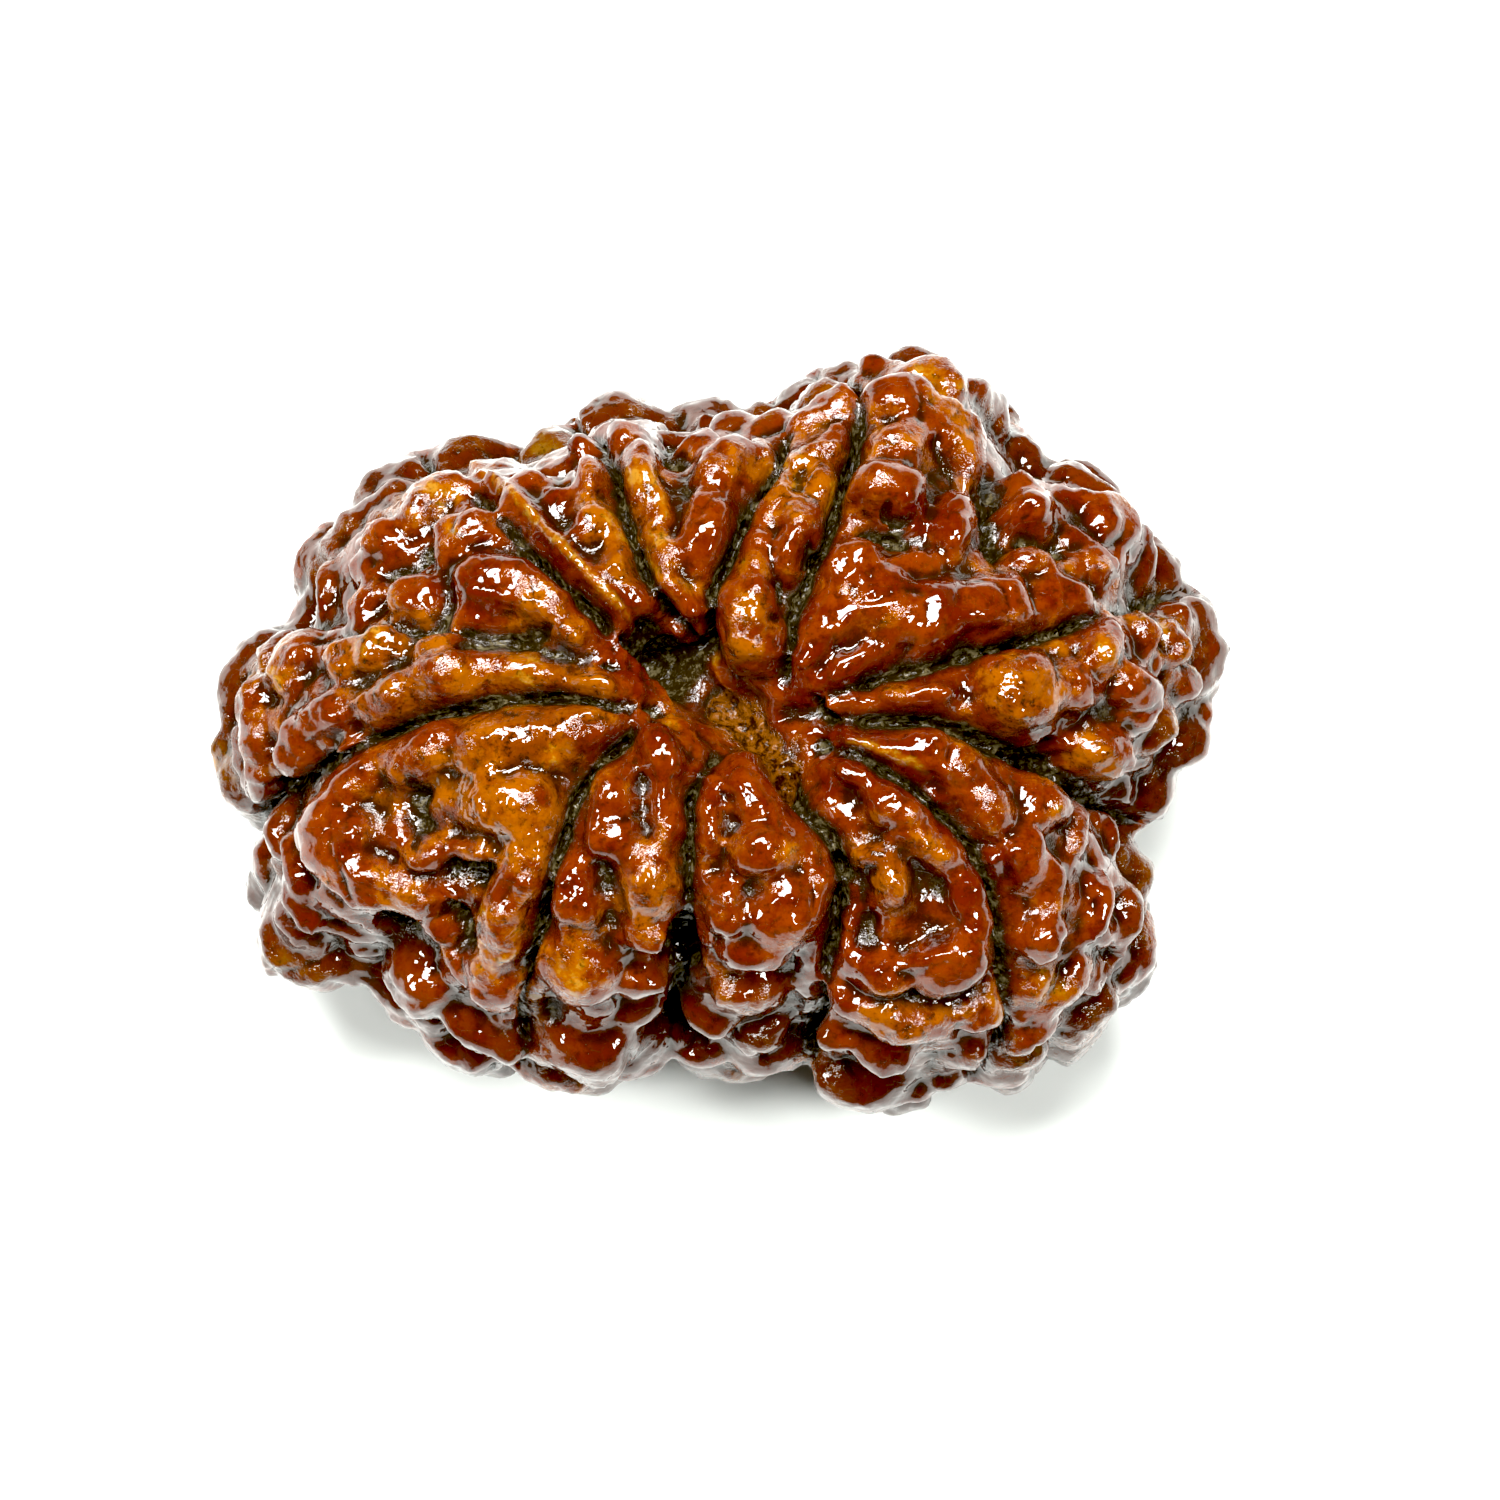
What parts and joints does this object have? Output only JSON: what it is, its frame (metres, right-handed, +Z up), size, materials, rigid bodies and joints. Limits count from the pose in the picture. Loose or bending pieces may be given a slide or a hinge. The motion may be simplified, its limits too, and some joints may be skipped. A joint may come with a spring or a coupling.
{
  "type": "rudraksha bead",
  "caption": "Whole unstrung rudraksha stone, a lumpy ribbed oval nut with a trunk-like bulge at one corner, worn or kept as a bead; it lies on its stalk end.",
  "frame": {"origin": "centre of the small flat spot that the bead rests on, at its stalk end", "axes": "+X along the long way across the bead, +Y across it towards the side with the bulge, +Z up from the stalk end to the end where the ribs meet"},
  "size_m": [0.03, 0.0227, 0.0167],
  "materials": {
    "oiled_stone": "oiled and glossy"
  },
  "bodies": {
    "root": {"rudraksha_bead": "oiled_stone"}
  },
  "joints": []
}
